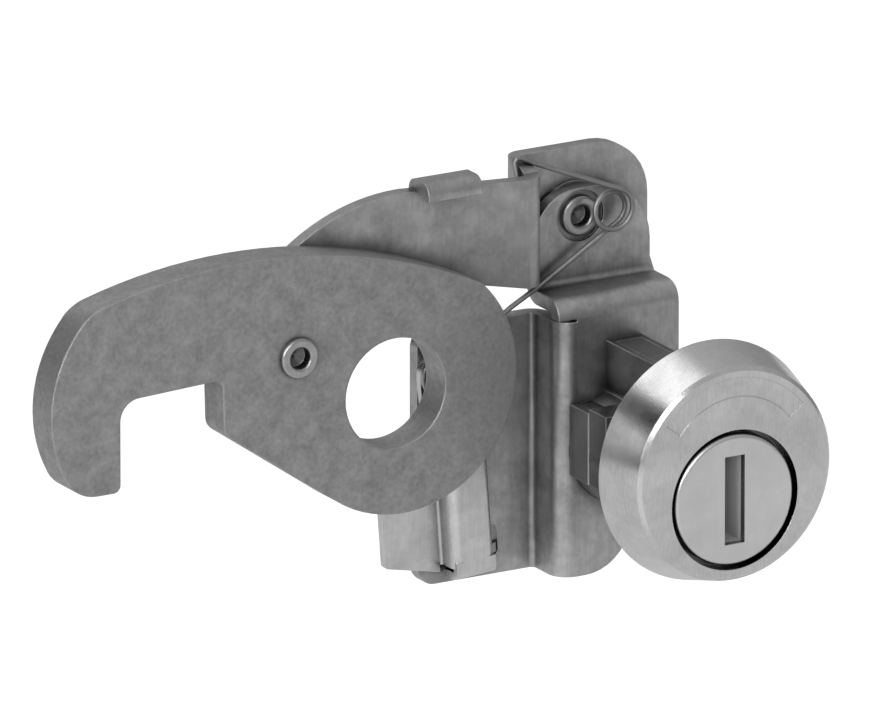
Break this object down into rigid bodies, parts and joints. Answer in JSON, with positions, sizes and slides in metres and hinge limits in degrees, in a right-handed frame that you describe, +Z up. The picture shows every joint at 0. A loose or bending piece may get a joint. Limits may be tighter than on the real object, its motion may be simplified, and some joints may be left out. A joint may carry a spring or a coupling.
{
  "type": "parcel locker lock",
  "caption": "Pin cylinder in a round bevelled head; its cam lets a spring-loaded lever with a thick stamped hook rise off its strike, on a joggled sheet bracket",
  "frame": {"origin": "On the axis of the round head, in the plane of its back face, where the head rests on the door", "axes": "+Z up, +X to the right seen from the front, +Y along the shank into the locker"},
  "size_m": [0.0814, 0.0324, 0.0441],
  "materials": {
    "plated_head": "bright plating, brushed face",
    "zinc_sheet": "zinc-plated stamped sheet, soft sheen",
    "dull_zinc": "dull mottled zinc, tumbled",
    "bright_steel": "bright plated steel",
    "spring_steel": "plated spring wire and spring sheet",
    "brass": "plain turned brass"
  },
  "bodies": {
    "root": {"cylinder_body": "plated_head", "chamber_strip": "brass", "driver_pins": "brass", "pin_springs": "spring_steel", "bracket": "zinc_sheet", "cylinder_clip": "spring_steel", "ear_rivet": "bright_steel", "ear_washer": "bright_steel", "guide_clip": "bright_steel", "guide_rivet": "bright_steel"},
    "plug": {"plug": "plated_head", "key_pin_1": "brass", "key_pin_2": "brass", "key_pin_3": "brass", "key_pin_4": "brass", "key_pin_5": "brass", "stop_plate": "zinc_sheet", "plug_clip": "spring_steel", "cam": "zinc_sheet", "cam_washer": "bright_steel", "cam_screw": "bright_steel"},
    "lever": {"lever": "zinc_sheet", "hook": "dull_zinc", "hook_rivet": "bright_steel", "torsion_spring": "spring_steel"}
  },
  "joints": [
    {"name": "plug_turn", "type": "hinge", "parent": "root", "child": "plug", "pos_m": [0, 0.01, -0.0027], "axis": [0, 1, 0], "range_deg": [0, 90]},
    {"name": "lever_lift", "type": "hinge", "parent": "root", "child": "lever", "pos_m": [-0.0021, 0.0229, 0.0201], "axis": [0, 1, 0], "range_deg": [0, 14]}
  ],
  "couplings": [
    {"joint": "lever_lift", "follows": "plug_turn", "ratio": 0.1555}
  ]
}
